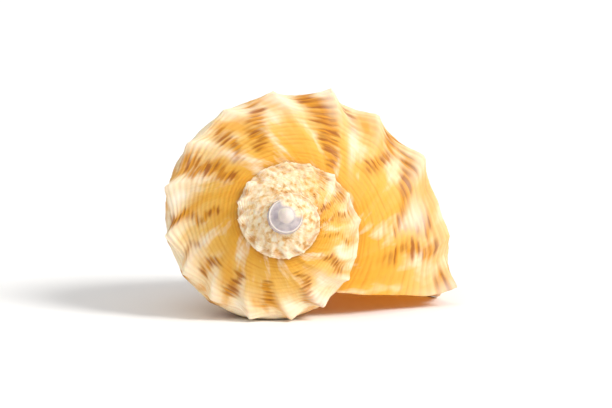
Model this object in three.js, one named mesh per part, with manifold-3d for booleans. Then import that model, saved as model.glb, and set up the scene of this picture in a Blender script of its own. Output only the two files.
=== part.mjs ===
// A turnip whelk (Rapana rapiformis), one empty sea snail shell lying on its open side.
// It is a single hollow solid. A profile, the outline of the shell's mouth, is swept round the coiling axis
// while it grows by a fixed ratio for each turn. The swept whorls are joined, the hollow of the last turns is
// cut out of them, and the lowest points are worn flat where the shell rests. Millimetres, +Z up; the pointed
// top of the shell looks towards -Y and its canal towards +Y, so the coil is seen whole from the front. The
// origin is at the bottom centre.

import * as THREE from "three";
import { mergeVertices } from "three/addons/utils/BufferGeometryUtils.js";
import Module from "manifold-3d";

const wasm = await Module();
wasm.setup();

const { clamp, degToRad, smoothstep } = THREE.MathUtils;

// Driving dimensions of the coil. A growth stage is in degrees round the axis, 0 at the lip, less before it.
const WHORL_RATIO = 2.42; // growth for each full turn
const LIP_ANGLE = -18; // where the lip stands at the shoulder, degrees anticlockwise seen from the spire
const FIRST_STAGE = -1010; // where the sculptured whorls come out from under the larval shell
const SMOOTH_UNTIL = -985;
const SCULPTED_FROM = -900;

// The glassy larval shell at the spire's tip: a low dome with a keel round it, and the first bulb on top. The
// dome's profile is in distances from its middle and behind the tip, and it stands a little beside the axis.
const BULB_RADIUS = 1.9;
const BULB_DEPTH = 1.84;
const LARVAL_ASIDE = -1.0;
const LARVAL_DOME = [
  [0, 0.8],
  [2.0, 1.25],
  [3.5, 2.0],
  [3.85, 1.9],
  [4.15, 2.15],
  [4.2, 3.8],
  [0, 4.6],
];

// How the shell lies: its axis slopes down towards the canal and turns a little aside.
const AXIS_SLOPE = 17.8;
const AXIS_TURN = 7.4;
const REST_HEIGHT = 26.6; // from the surface that it lies on up to the tip of the spire

// Outline of the mouth at the lip: distance from the axis, distance behind the spire's tip, and how many
// degrees the growth line runs ahead of the shoulder. One station to a row; the outline closes on itself.
const MOUTH = [
  [17.4, 13.6, 36.5],
  [21.5, 14.9, 28.5],
  [27.0, 18.0, 18.5],
  [32.6, 21.6, 11.5],
  [38.0, 25.0, 6.5],
  [42.8, 27.4, 0],
  [44.9, 32.0, 0.5],
  [44.4, 37.5, 1],
  [42.4, 43.5, 1],
  [38.6, 50.0, 0.5],
  [32.6, 56.5, 0],
  [26.2, 62.0, 0.5],
  [20.8, 67.0, 0.5],
  [17.2, 72.0, -0.5],
  [13.4, 75.0, 0],
  [9.4, 73.4, 1],
  [6.2, 67.0, 2],
  [4.6, 57.0, 4],
  [3.8, 45.0, 7],
  [4.4, 34.0, 12],
  [6.4, 21.5, 20],
  [10.5, 15.2, 28],
];
const SHOULDER = 5;
const CANAL_TIP = 14;
const PILLAR = 17.5; // the middle of the side that is turned to the axis
const PILLAR_WIDTH = 1.6; // stations over which its free edge is rounded

// Thickness of the wall at each station of the outline, at the lip's own size.
const WALL = [
  1.8, 1.8, 1.8, 1.8, 2.0, 2.4, 2.0, 1.9, 1.9, 1.9, 1.8, 1.7, 1.6, 1.5, 1.5, 2.4, 4.2, 5.4, 5.6, 4.0, 2.0,
  1.6,
];
const LIP_THINNING = 0.5; // share of the wall that is left at the outer lip's edge
const THINNING_DEGREES = 30;
const CALLUS = 0.6; // glaze on the whorl that shows inside the mouth
const NOTCH_DEPTH = 5; // how far the canal's open end is cut back into its rim
const NOTCH_DEGREES = 22;
const PILLAR_ROUNDING = { outside: 1.4, hollow: 2.4 }; // how far each side of its free edge is rounded off
const ROUNDING_DEGREES = { outside: 28, hollow: 48 };
const HOLLOW_FROM = -416;
const HOLLOW_STRETCH = 140; // three of them reach a little past the lip

// Spines on the shoulder: degrees of growth before the lip, and height at the lip's own size.
const SPINES = [
  [0, 3.9],
  [16, 1.8],
  [44, 3.5],
  [66, 2.9],
  [86, 4.3],
  [109, 2.4],
  [131, 2.1],
  [154, 2.3],
  [178, 3.7],
  [202, 4.3],
  [222, 4.2],
  [242, 3.0],
  [266, 4.1],
  [290, 4.1],
  [311, 4.9],
];
const SPINES_REPEAT = 335; // degrees after which the same spines come again on the earlier whorls
const NEXT_SPINE = [24, 3.0]; // the spine that would have grown after the lip
const SPINE_LIFT = 14; // degrees by which a spine turns up towards the spire
const SPINE_SLOW = 0.62; // share of the gap that a spine's slow side takes, the rest is its steep side
const SPINE_SPREAD = { ramp: 0.9, body: 0.5 }; // stations over which a spine fades on each side of the keel

// Rows of blunt knobs below the shoulder: station, the height of the ridge that they stand on, their height
// as a share of the spine above them, and their width in stations.
const KNOB_ROWS = [
  { station: 7.5, ridge: 0.2, knob: 0.3, width: 0.5 },
  { station: 9.5, ridge: 0.2, knob: 0.26, width: 0.5 },
  { station: 11.3, ridge: 0.2, knob: 0.22, width: 0.45 },
  { station: 13.3, ridge: 0.4, knob: 0.4, width: 0.5 },
];

const outline = new THREE.CatmullRomCurve3(
  MOUTH.map(([radius, depth, lead]) => new THREE.Vector3(radius, depth, lead)),
  true,
  "catmullrom",
  0.5,
);

const pose = new THREE.Matrix4()
  .makeRotationZ(degToRad(AXIS_TURN))
  .multiply(new THREE.Matrix4().makeRotationX(degToRad(90 - AXIS_SLOPE)));

const END_REACH = 12; // degrees by which the middle of a stretch's end reaches past its ring
const bump = (x, width) => Math.exp(-((x / width) ** 2));

// Evenly spaced values from one to another, both included.
function range(from, to, count) {
  return Array.from({ length: count + 1 }, (_, i) => from + ((to - from) * i) / count);
}

// Value at a station of a list that has one entry to a station.
function atStation(list, station) {
  const whole = Math.floor(station);
  const share = station - whole;
  return list[whole % list.length] * (1 - share) + list[(whole + 1) % list.length] * share;
}

// Every spine's stage and height, from the innermost whorl to the one past the lip.
const spines = [];
for (let inward = 0; inward > FIRST_STAGE - 360; inward -= SPINES_REPEAT) {
  for (const [behind, height] of SPINES) spines.unshift([inward - behind, height]);
}
spines.push(NEXT_SPINE);

// Height of the keel of spines at a growth stage: 0 in a saddle. A spine's steep side faces the lip.
function spineHeight(growth) {
  const next = spines.findIndex(([tip]) => tip > growth);
  const [[before, heightBefore], [after, heightAfter]] = spines.slice(next - 1, next + 1);
  const share = (growth - before) / (after - before);
  const steep = clamp(1 - share / (1 - SPINE_SLOW), 0, 1) ** 1.5;
  const slow = clamp(1 - (1 - share) / SPINE_SLOW, 0, 1) ** 1.7;
  return Math.max(heightBefore * steep, heightAfter * slow);
}

// A point of the outline moved outwards by a distance, and by a spine's height at the shoulder, then coiled
// and grown to its stage, and laid as the shell rests. Seen from the spire it runs clockwise as it grows.
function coiled(growth, station, outwards, spine = 0) {
  const share = (station % MOUTH.length) / MOUTH.length;
  const at = outline.getPoint(share);
  const along = outline.getTangent(share);
  const length = Math.hypot(along.x, along.y);
  const lift = degToRad(SPINE_LIFT);
  const radius = at.x + (outwards * along.y) / length + spine * Math.cos(lift);
  const depth = at.y - (outwards * along.x) / length - spine * Math.sin(lift);
  const coil = growth + at.z;
  const angle = degToRad(LIP_ANGLE - coil);
  return new THREE.Vector3(radius * Math.cos(angle), radius * Math.sin(angle), -depth)
    .multiplyScalar(WHORL_RATIO ** (coil / 360))
    .applyMatrix4(pose);
}

// How much is rounded off one side of the pillar's end: most at the lip, nothing on the mouth's outer side.
function pillarEnd(side, growth, station) {
  const nearLip = smoothstep(growth, -ROUNDING_DEGREES[side], 0);
  return PILLAR_ROUNDING[side] * bump(station - PILLAR, PILLAR_WIDTH) * nearLip;
}

// The sculptured outside, with its spines and knobs.
function outsidePoint(growth, station) {
  const grown = smoothstep(growth, SMOOTH_UNTIL, SCULPTED_FROM);
  const keel = spineHeight(growth);
  let relief = 0;
  for (const { station: row, ridge, knob, width } of KNOB_ROWS) {
    relief += (ridge + knob * keel) * bump(station - row, width);
  }
  const spread = station < SHOULDER ? SPINE_SPREAD.ramp : SPINE_SPREAD.body;
  const spine = keel * bump(station - SHOULDER, spread);
  return coiled(growth, station, grown * relief - pillarEnd("outside", growth, station), grown * spine);
}

// The inside of the wall, which thins towards the outer lip and is notched through at the canal's end.
function hollowPoint(growth, station) {
  const outer = smoothstep(station, 0, 1) * (1 - smoothstep(station, CANAL_TIP, CANAL_TIP + 1));
  const thinned = 1 - (1 - LIP_THINNING) * outer * smoothstep(growth, -THINNING_DEGREES, 0);
  const notch = NOTCH_DEPTH * bump(station - CANAL_TIP, 0.8) * smoothstep(growth, -NOTCH_DEGREES, 0);
  const pillar = pillarEnd("hollow", growth, station);
  return coiled(growth, station, notch + pillar - thinned * atStation(WALL, station));
}

const callusPoint = (growth, station) => coiled(growth, station, CALLUS);

// A three geometry as a solid that can be joined and cut, without the faces that are closed up at a pole.
function solidOf(geometry) {
  const bare = geometry.clone();
  bare.deleteAttribute("normal");
  bare.deleteAttribute("uv");
  const merged = mergeVertices(bare, 1e-4);
  const vertProperties = merged.attributes.position.array;
  const faces = [];
  for (let i = 0; i < merged.index.count; i += 3) {
    const face = Array.from(merged.index.array.slice(i, i + 3));
    if (new Set(face).size === 3) faces.push(...face);
  }
  return new wasm.Manifold(new wasm.Mesh({ numProp: 3, vertProperties, triVerts: new Uint32Array(faces) }));
}

// A closed solid over rings of points. Each end is filled from its middle, which reaches further than the
// ring, so that stretches which share a ring overlap inside and join soundly.
function sweep(pointAt, stages, stations, reachAtEnd = END_REACH) {
  const across = stations.length;
  const points = stages.flatMap((growth) => stations.map((station) => pointAt(growth, station)));
  const faces = [];
  const corner = (ring, i) => ring * across + (i % across);
  for (let ring = 1; ring < stages.length; ring++) {
    for (let i = 0; i < across; i++) {
      faces.push(corner(ring, i), corner(ring - 1, i + 1), corner(ring - 1, i));
      faces.push(corner(ring, i), corner(ring, i + 1), corner(ring - 1, i + 1));
    }
  }
  const last = stages.length - 1;
  for (const [ring, growth] of [[0, stages[0] - END_REACH], [last, stages[last] + reachAtEnd]]) {
    const middle = new THREE.Vector3();
    for (const station of stations) middle.addScaledVector(pointAt(growth, station), 1 / across);
    points.push(middle);
    for (let i = 0; i < across; i++) {
      const edge = [corner(ring, i), corner(ring, i + 1)];
      if (ring > 0) edge.reverse();
      faces.push(points.length - 1, ...edge);
    }
  }
  return solidOf(new THREE.BufferGeometry().setFromPoints(points).setIndex(faces));
}

// Growth stages at shares of each gap between spines, so that every tip and saddle is met.
function spineStages(from, to, shares) {
  const stages = spines.slice(1).flatMap(([tip], i) => {
    const gap = tip - spines[i][0];
    return shares.map((share) => tip - share * gap);
  });
  return [from, ...stages.filter((stage) => stage > from && stage < to).sort((a, b) => a - b), to];
}

// Stations of the outside meet the ramp, the keel, and the crest and both sides of each row of knobs.
const OUTSIDE_STATIONS = [
  0, 1, 2, 3, 4, 4.5, 5, 5.5, 6.2, 6.9, 7.5, 8.1, 8.8, 9.5, 10.1, 10.7, 11.3, 11.9, 12.6, 13.3, 14, 15, 16,
  17, 18, 19, 20.2, 21.2,
];
const CALLUS_STATIONS = [0, 2, 4, 5, 6, 7.5, 9, 10.5, 12, 13.5, 14.5, 16, 18, 20];
const HOLLOW_STATIONS = [
  0.5, 1.5, 2.5, 3.5, 4.4, 5, 5.6, 6.5, 7.5, 8.5, 9.5, 10.5, 11.5, 12.5, 13.3, 14, 14.7, 15.5, 16.5, 17.5,
  18.5, 20, 21.3,
];

// The whorls in stretches short enough not to meet themselves, each with the callus over it.
const STRETCH = 168;
const whorls = [];
for (let to = 0; to > FIRST_STAGE; to -= STRETCH) {
  const from = Math.max(FIRST_STAGE, to - STRETCH);
  const shares = to > -360 ? [0, 0.32, 0.64] : [0, 0.6];
  const stages = spineStages(from, to, shares);
  whorls.push({
    to,
    solid: sweep(outsidePoint, stages, OUTSIDE_STATIONS, to < 0 ? END_REACH : 0),
    callus: sweep(callusPoint, range(from, to, 10), CALLUS_STATIONS),
  });
}

// The larval shell. The dome is turned a little, so that none of its edges runs along one of the bulb's.
const DOME_TURN = 0.1;
const bulb = new THREE.SphereGeometry(BULB_RADIUS, 12, 8).translate(LARVAL_ASIDE, 0, -BULB_DEPTH);
const profile = LARVAL_DOME.map(([radius, depth]) => new THREE.Vector2(radius, -depth)).reverse();
const dome = new THREE.LatheGeometry(profile, 24, DOME_TURN).rotateX(Math.PI / 2);
dome.translate(LARVAL_ASIDE, 0, 0);
let shell = solidOf(bulb.applyMatrix4(pose)).add(solidOf(dome.applyMatrix4(pose)));
for (const { solid } of whorls) shell = shell.add(solid);

// The hollow, cut in stretches; each leaves the whorls that it is coiled round standing under their callus.
for (let from = HOLLOW_FROM; from < 0; from += HOLLOW_STRETCH) {
  let hollow = sweep(hollowPoint, range(from, from + HOLLOW_STRETCH, 10), HOLLOW_STATIONS);
  for (const { to, callus } of whorls) {
    if (to < from - 2 * END_REACH) hollow = hollow.subtract(callus);
  }
  shell = shell.subtract(hollow);
}

// All that reaches below the surface that the shell lies on is worn away.
const GROUND = 200;
const ground = new THREE.BoxGeometry(GROUND, GROUND, GROUND).translate(0, 0, -REST_HEIGHT - GROUND / 2);
shell = shell.subtract(solidOf(ground));

const { numVert, numProp, vertProperties, triVerts } = shell.getMesh();
const corners = [];
for (let i = 0; i < numVert; i++) {
  corners.push(new THREE.Vector3().fromArray(vertProperties, i * numProp));
}
const geometry = new THREE.BufferGeometry().setFromPoints(corners);
geometry.setIndex(new THREE.BufferAttribute(triVerts, 1));
geometry.computeBoundingBox();
const { min, max } = geometry.boundingBox;
geometry.translate(-(min.x + max.x) / 2, -(min.y + max.y) / 2, -min.z);
const limy = new THREE.MeshStandardMaterial({ color: 0xf2c27a, roughness: 0.55, metalness: 0 });
const mesh = new THREE.Mesh(geometry, limy);
mesh.name = "shell";

const group = new THREE.Group();
group.add(mesh);
export default group;
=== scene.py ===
"""A rapana sea snail shell, empty, lying on its open side on a pale table.

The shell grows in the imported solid's frame and from the same coil, with its fine relief: spiral cords, growth
folds, scales and the thin lip. The script cuts its hollow and gives every surface its limy or glazed finish.
The coil's own sizes are in millimetres and degrees; every Blender object is in metres.

Growth is an angle in degrees, 0 at the lip and less before it. A station is a place on the mouth's outline,
from 0 at the suture over 5 at the shoulder to 14 at the tip of the canal, and back along the pillar.
"""

import logging
import math
from collections.abc import Callable
from dataclasses import dataclass, field
from enum import Enum, IntEnum

import bpy
import numpy as np
from mathutils import Matrix, Vector, noise

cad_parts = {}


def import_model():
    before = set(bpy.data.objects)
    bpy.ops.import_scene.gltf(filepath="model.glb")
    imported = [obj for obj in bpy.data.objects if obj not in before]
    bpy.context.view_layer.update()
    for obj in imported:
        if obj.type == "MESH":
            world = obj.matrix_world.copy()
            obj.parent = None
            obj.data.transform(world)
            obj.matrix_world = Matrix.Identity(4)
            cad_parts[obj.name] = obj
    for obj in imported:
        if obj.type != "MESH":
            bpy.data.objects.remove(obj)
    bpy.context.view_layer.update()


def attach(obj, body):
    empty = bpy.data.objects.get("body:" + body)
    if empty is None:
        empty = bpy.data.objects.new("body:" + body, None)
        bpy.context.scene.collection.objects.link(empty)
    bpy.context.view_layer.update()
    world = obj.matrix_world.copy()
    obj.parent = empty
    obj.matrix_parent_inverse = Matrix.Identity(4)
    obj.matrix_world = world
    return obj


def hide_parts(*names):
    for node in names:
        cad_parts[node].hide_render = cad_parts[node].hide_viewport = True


MM = 0.001
FULL_TURN = 360.0
COIL_MAP = "coil"
LOG = logging.getLogger("shell")

PointPlacer = Callable[[np.ndarray, np.ndarray], np.ndarray]


class Surface(IntEnum):
    """The kinds of surface that the shell has, each the index of its material on the mesh."""

    OUTSIDE = 0
    THROAT = 1
    CALLUS = 2
    LIP_EDGE = 3
    WORN = 4


class RoundingSide(Enum):
    """The two sides of the pillar's free edge."""

    OUTSIDE = "outside"
    HOLLOW = "hollow"


class Joining(Enum):
    """How one solid changes another."""

    UNION = "UNION"
    DIFFERENCE = "DIFFERENCE"


def smoothstep(value: np.ndarray, start: float, end: float) -> np.ndarray:
    """Rises smoothly from 0 at start to 1 at end."""
    share = np.clip((value - start) / (end - start), 0.0, 1.0)
    return share * share * (3.0 - 2.0 * share)


def bump(distance: np.ndarray, width: float | np.ndarray) -> np.ndarray:
    """Returns a smooth hump, 1 in its middle and fading over the width."""
    return np.exp(-((distance / width) ** 2))


@dataclass(frozen=True)
class Wander:
    """A smooth noise laid along the coil, between about -1 and 1 and the same in each run."""

    per_degree: float
    per_station: float
    seed: float

    def at(self, growth: np.ndarray, station: np.ndarray) -> np.ndarray:
        """Reads the noise.

        Args:
            growth: Growth stages.
            station: Places on the outline.

        Returns:
            The noise at each of them.
        """
        x = np.ravel(growth * self.per_degree)
        y = np.ravel(station * self.per_station)
        flat = [noise.noise(Vector((a, b, self.seed))) for a, b in zip(x, y)]
        return np.array(flat).reshape(np.shape(growth))


@dataclass(frozen=True)
class Coil:
    """How the shell coils as it grows, and how its axis lies."""

    ratio: float = 2.42
    lip_angle: float = -18.0
    first_stage: float = -1010.0
    smooth_until: float = -985.0
    sculpted_from: float = -930.0
    axis_slope: float = 17.8
    axis_turn: float = 7.4
    tip: tuple[float, float, float] = (-5.36, -35.15, 26.6)
    spine_lift: float = 14.0
    shoulder: float = 5.0
    canal_tip: float = 14.0
    pillar: float = 17.5
    # Distance from the axis, distance behind the spire's tip, and degrees that the growth line runs ahead.
    # Some of these degrees follow a calculation of where the lip meets the table.
    mouth: tuple[tuple[float, float, float], ...] = (
        (17.4, 13.6, 36.5), (21.5, 14.9, 28.5), (27.0, 18.0, 18.5), (32.6, 21.6, 11.5), (38.0, 25.0, 6.5),
        (42.8, 27.4, 0), (44.9, 32.0, 0.5), (44.4, 37.5, 1), (42.4, 43.5, 1), (38.6, 50.0, 0.5),
        (32.6, 56.5, 0), (26.2, 62.0, 0.5), (20.8, 67.0, 0.5), (17.2, 72.0, -0.5), (13.4, 75.0, 0),
        (9.4, 73.4, 1), (6.2, 67.0, 2), (4.6, 57.0, 4), (3.8, 45.0, 7), (4.4, 34.0, 12), (6.4, 21.5, 20),
        (10.5, 15.2, 28),
    )

    @property
    def stations(self) -> int:
        """Number of stations once round the mouth."""
        return len(self.mouth)

    def pose(self) -> np.ndarray:
        """Returns the turn that lays the coil's axis as the shell rests."""
        turn = Matrix.Rotation(math.radians(self.axis_turn), 3, "Z")
        return np.array(turn @ Matrix.Rotation(math.radians(90.0 - self.axis_slope), 3, "X"))

    def outline(self, station: np.ndarray) -> tuple[np.ndarray, np.ndarray]:
        """Follows the closed mouth outline.

        Args:
            station: Places on the outline.

        Returns:
            Radius, depth and lead at each place, and how they change along it.
        """
        table = np.array(self.mouth)
        whole = np.floor(station).astype(int)
        t = (station - whole)[..., None]
        before, here, there, after = (table[(whole + step) % self.stations] for step in (-1, 0, 1, 2))
        second = 2 * before - 5 * here + 4 * there - after
        third = -before + 3 * here - 3 * there + after
        place = 0.5 * (2 * here + (there - before) * t + second * t**2 + third * t**3)
        along = 0.5 * ((there - before) + 2 * second * t + 3 * third * t**2)
        return place, along

    def place(
        self,
        growth: np.ndarray,
        station: np.ndarray,
        outwards: np.ndarray | float,
        spine: np.ndarray | float = 0.0,
    ) -> np.ndarray:
        """Puts points of the outline where the coil carries them.

        Args:
            growth: Growth stages.
            station: Places on the outline.
            outwards: How far each point is moved out of the outline, at the lip's size.
            spine: Height of the spine there, at the lip's size.

        Returns:
            Points in metres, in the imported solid's own frame.
        """
        at, along = self.outline(station)
        length = np.hypot(along[..., 0], along[..., 1])
        lift = math.radians(self.spine_lift)
        radius = at[..., 0] + outwards * along[..., 1] / length + spine * math.cos(lift)
        depth = at[..., 1] - outwards * along[..., 0] / length - spine * math.sin(lift)
        turned = growth + at[..., 2]
        angle = np.radians(self.lip_angle - turned)
        size = self.ratio ** (turned / FULL_TURN)
        across = size * radius * np.cos(angle)
        aside = size * radius * np.sin(angle)
        local = np.stack([across, aside, -size * depth], axis=-1)
        return (local @ self.pose().T + np.array(self.tip)) * MM


@dataclass(frozen=True)
class Sculpture:
    """The relief that the outside carries, in millimetres at the lip's size; widths are in stations."""

    coil: Coil
    # Degrees of growth before the lip, and height. A solver worked both out from the spine tips, which were
    # read off the photograph. They are rounded to whole degrees and to tenths of a millimetre.
    spines: tuple[tuple[float, float], ...] = (
        (0, 3.9), (16, 1.8), (44, 3.5), (66, 2.9), (86, 4.3), (109, 2.4), (131, 2.1), (154, 2.3), (178, 3.7),
        (202, 4.3), (222, 4.2), (242, 3.0), (266, 4.1), (290, 4.1), (311, 4.9),
    )
    spines_repeat: float = 335.0
    spine_rounds: int = 6
    next_spine: tuple[float, float] = (24.0, 3.0)
    slow_share: float = 0.62
    steep_curve: float = 1.5
    slow_curve: float = 1.7
    spine_on_ramp: float = 0.9
    spine_on_body: float = 0.5
    # station, height of the ridge, height of the knobs as a share of the spine above them, and width
    knob_rows: tuple[tuple[float, float, float, float], ...] = (
        (7.5, 0.2, 0.3, 0.5), (9.5, 0.2, 0.26, 0.5), (11.3, 0.2, 0.22, 0.45), (13.3, 0.4, 0.4, 0.5),
    )
    # station, width, and height as a share of the spine below them, of the ribs that run up the ramp
    ramp_ribs: tuple[tuple[float, float, float], ...] = ((3.9, 1.2, 0.16), (2.0, 1.5, 0.07))
    outer_from: tuple[float, float] = (0.0, 0.6)
    outer_until: tuple[float, float] = (13.6, 14.2)
    early_whorls: tuple[float, float] = (-430.0, -350.0)
    early_lumps: float = 0.8
    ramp_cords: float = 18.0
    body_cords: float = 3.1
    cord_height: float = 0.1
    early_cords: float = 0.9
    keel_cords: float = 0.8
    keel_cords_width: float = 1.2
    fold_height: float = 0.34
    narrow_folds: float = 0.7
    scale_row: float = 13.2
    scale_width: float = 0.55
    scale_height: float = 0.7
    scale_spacing: float = 7.0
    cord_wander: Wander = Wander(0.08, 1.3, 17.0)
    wide_fold_wander: Wander = Wander(0.13, 0.3, 3.0)
    narrow_fold_wander: Wander = Wander(0.42, 0.5, 7.0)
    lump_wander: Wander = Wander(0.24, 1.9, 11.0)
    scale_wander: Wander = Wander(0.2, 1.0, 5.0)

    def keel(self, growth: np.ndarray) -> np.ndarray:
        """Follows the keel of spines, whose steep sides face the lip.

        Args:
            growth: Growth stages.

        Returns:
            Height of the keel at each of them, 0 in a saddle.
        """
        tips = [
            (-turn * self.spines_repeat - behind, height)
            for turn in range(self.spine_rounds)
            for behind, height in self.spines
        ]
        tips = sorted(tips + [self.next_spine])
        at = np.array([tip for tip, _ in tips])
        height = np.array([tall for _, tall in tips])
        after = np.clip(np.searchsorted(at, growth, side="right"), 1, len(at) - 1)
        share = (growth - at[after - 1]) / (at[after] - at[after - 1])
        steep = np.clip(1.0 - share / (1.0 - self.slow_share), 0.0, 1.0) ** self.steep_curve
        slow = np.clip(1.0 - (1.0 - share) / self.slow_share, 0.0, 1.0) ** self.slow_curve
        return np.maximum(height[after - 1] * steep, height[after] * slow)

    def cord(self, station: np.ndarray) -> np.ndarray:
        """Follows the spiral cords across the outline.

        Args:
            station: Places on the outline.

        Returns:
            -1 in the groove between two cords and 1 on a cord's crest.
        """
        ramp = station * self.ramp_cords / self.coil.shoulder
        body = self.ramp_cords + (station - self.coil.shoulder) * self.body_cords
        turns = np.where(station < self.coil.shoulder, ramp, body)
        return np.cos(2.0 * np.pi * turns)

    def scales(self, growth: np.ndarray, station: np.ndarray) -> np.ndarray:
        """Raises the row of overlapping scales round the navel.

        Args:
            growth: Growth stages.
            station: Places on the outline.

        Returns:
            Height of the scales.
        """
        row = bump(station - self.scale_row, self.scale_width)
        slope = 1.0 - np.mod(growth / self.scale_spacing, 1.0)
        uneven = 0.7 + 0.5 * self.scale_wander.at(growth, station)
        return row * self.scale_height * slope * uneven

    def relief(self, growth: np.ndarray, station: np.ndarray) -> tuple[np.ndarray, np.ndarray]:
        """Works out the outside's relief.

        Args:
            growth: Growth stages.
            station: Places on the outline.

        Returns:
            How far the surface stands out of the plain outline, and the height of the spine.
        """
        from_shoulder = station - self.coil.shoulder
        grown = smoothstep(growth, self.coil.smooth_until, self.coil.sculpted_from)
        keel = self.keel(growth)
        low = np.zeros_like(growth)
        for row, ridge, knob, width in self.knob_rows:
            low += (ridge + knob * keel) * bump(station - row, width)
        outer = smoothstep(station, *self.outer_from) * (1.0 - smoothstep(station, *self.outer_until))
        near_keel = 1.0 + self.keel_cords * bump(from_shoulder, self.keel_cords_width)
        early = 1.0 - smoothstep(growth, *self.early_whorls)
        uneven = 0.75 + 0.6 * self.cord_wander.at(growth, station)
        height = outer * self.cord_height * (1.0 + self.early_cords * early)
        low += height * near_keel * uneven * self.cord(station)
        folds = self.wide_fold_wander.at(growth, station)
        folds = folds + self.narrow_folds * self.narrow_fold_wander.at(growth, station)
        low += outer * self.fold_height * (1.0 + early) * folds
        ribs = keel * sum(share * bump(station - row, width) for row, width, share in self.ramp_ribs)
        low += outer * ribs
        low += outer * self.early_lumps * early * self.lump_wander.at(growth, station)
        low += self.scales(growth, station)
        width = np.where(from_shoulder < 0.0, self.spine_on_ramp, self.spine_on_body)
        spine = keel * bump(from_shoulder, width)
        return grown * low, grown * spine


@dataclass(frozen=True)
class LarvalShell:
    """The small glassy start of the shell: a low dome with a keel round it, and the first bulb on top."""

    coil: Coil
    bulb_radius: float = 1.9
    bulb_depth: float = 1.84
    bulb_segments: int = 40
    bulb_rings: int = 24
    bulb_edge: tuple[float, float] = (1.75, 1.9)
    bulb_paleness: float = 0.55
    aside: float = -1.0
    segments: int = 96
    merge_distance: float = 0.001
    stage: float = -1300.0
    covered_middle: float = 50.0
    covered_half: float = 55.0
    covered_fade: float = 12.0
    covered_reach: tuple[float, float] = (2.1, 2.7)
    keel_radius: float = 3.84
    keel_width: float = 0.12
    keel_paleness: float = 0.8
    # distance from the dome's middle, and behind the tip of the spire
    profile: tuple[tuple[float, float], ...] = (
        (0.0, 0.8), (0.8, 0.88), (1.5, 1.06), (2.0, 1.25), (2.6, 1.52), (3.1, 1.78), (3.45, 1.97),
        (3.62, 1.98), (3.74, 1.9), (3.85, 1.87), (3.96, 1.91), (4.08, 2.04), (4.16, 2.25), (4.2, 3.8),
        (0.0, 4.6),
    )

    def covered(self, growth: np.ndarray, station: np.ndarray) -> np.ndarray:
        """Finds where the first sculptured whorl has grown over the dome.

        Args:
            growth: Growth from the dome's own UV map.
            station: Station from the dome's own UV map, which is the distance from its middle.

        Returns:
            1 where the dome is covered, fading to 0 where it is bare.
        """
        turn = self.stage - growth
        away = np.abs((turn - self.covered_middle + 180.0) % FULL_TURN - 180.0)
        inner = self.covered_half - self.covered_fade
        round_the_dome = 1.0 - smoothstep(away, inner, self.covered_half + self.covered_fade)
        return round_the_dome * smoothstep(station, *self.covered_reach)

    def paleness(self, station: np.ndarray) -> np.ndarray:
        """How pale the keel and the bulb are, by the distance from the dome's middle."""
        on_bulb = self.bulb_paleness * (1.0 - smoothstep(station, *self.bulb_edge))
        return np.maximum(self.keel_paleness * bump(station - self.keel_radius, self.keel_width), on_bulb)

    def laid(self, solid: bpy.types.Object) -> bpy.types.Object:
        """Lays a solid built round the coil's axis in its place on the shell, and marks it as larval.

        Args:
            solid: Solid round its own Z axis, in millimetres from the spire's tip.

        Returns:
            The same solid, with its distance from the middle of the dome in its UV map.
        """
        mesh = solid.data
        points = np.empty(len(mesh.vertices) * 3, dtype=np.float32)
        mesh.vertices.foreach_get("co", points)
        points = points.reshape(-1, 3)
        reach = np.hypot(points[:, 0], points[:, 1])
        turn = np.degrees(np.arctan2(points[:, 1], points[:, 0])) % FULL_TURN
        points[:, 0] += self.aside
        placed = (points @ self.coil.pose().T + np.array(self.coil.tip)) * MM
        mesh.vertices.foreach_set("co", placed.ravel())
        vertex = np.empty(len(mesh.loops), dtype=np.int32)
        mesh.loops.foreach_get("vertex_index", vertex)
        uv = np.empty((len(vertex), 2))
        uv[:, 0] = (self.stage - turn[vertex]) / FULL_TURN
        uv[:, 1] = reach[vertex] / self.coil.stations
        for layer in list(mesh.uv_layers):
            mesh.uv_layers.remove(layer)
        mesh.uv_layers.new(name=COIL_MAP).data.foreach_set("uv", uv.ravel())
        for _ in Surface:
            mesh.materials.append(None)
        mesh.update()
        return solid

    def bulb(self) -> bpy.types.Object:
        """Adds the first bulb.

        Returns:
            The bulb, in its place on the shell.
        """
        bpy.ops.object.select_all(action="DESELECT")
        bpy.ops.mesh.primitive_uv_sphere_add(
            segments=self.bulb_segments,
            ring_count=self.bulb_rings,
            radius=self.bulb_radius,
            location=(0.0, 0.0, -self.bulb_depth),
        )
        bulb = bpy.context.object
        bpy.ops.object.transform_apply(location=True, rotation=True, scale=True)
        return self.laid(bulb)

    def dome(self) -> bpy.types.Object:
        """Turns the dome's profile round its axis.

        Returns:
            The dome, in its place on the shell.
        """
        mesh = bpy.data.meshes.new("dome")
        points = [(radius, 0.0, -depth) for radius, depth in self.profile]
        mesh.from_pydata(points, [(i, i + 1) for i in range(len(points) - 1)], [])
        dome = bpy.data.objects.new("dome", mesh)
        bpy.context.collection.objects.link(dome)
        bpy.ops.object.select_all(action="DESELECT")
        bpy.context.view_layer.objects.active = dome
        turn = dome.modifiers.new("turn", "SCREW")
        turn.steps = self.segments
        turn.render_steps = self.segments
        turn.use_merge_vertices = True
        turn.merge_threshold = self.merge_distance
        bpy.ops.object.modifier_apply(modifier=turn.name)
        dome.select_set(True)
        bpy.ops.object.mode_set(mode="EDIT")
        bpy.ops.mesh.select_all(action="SELECT")
        bpy.ops.mesh.normals_make_consistent(inside=False)
        bpy.ops.object.mode_set(mode="OBJECT")
        return self.laid(dome)


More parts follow.
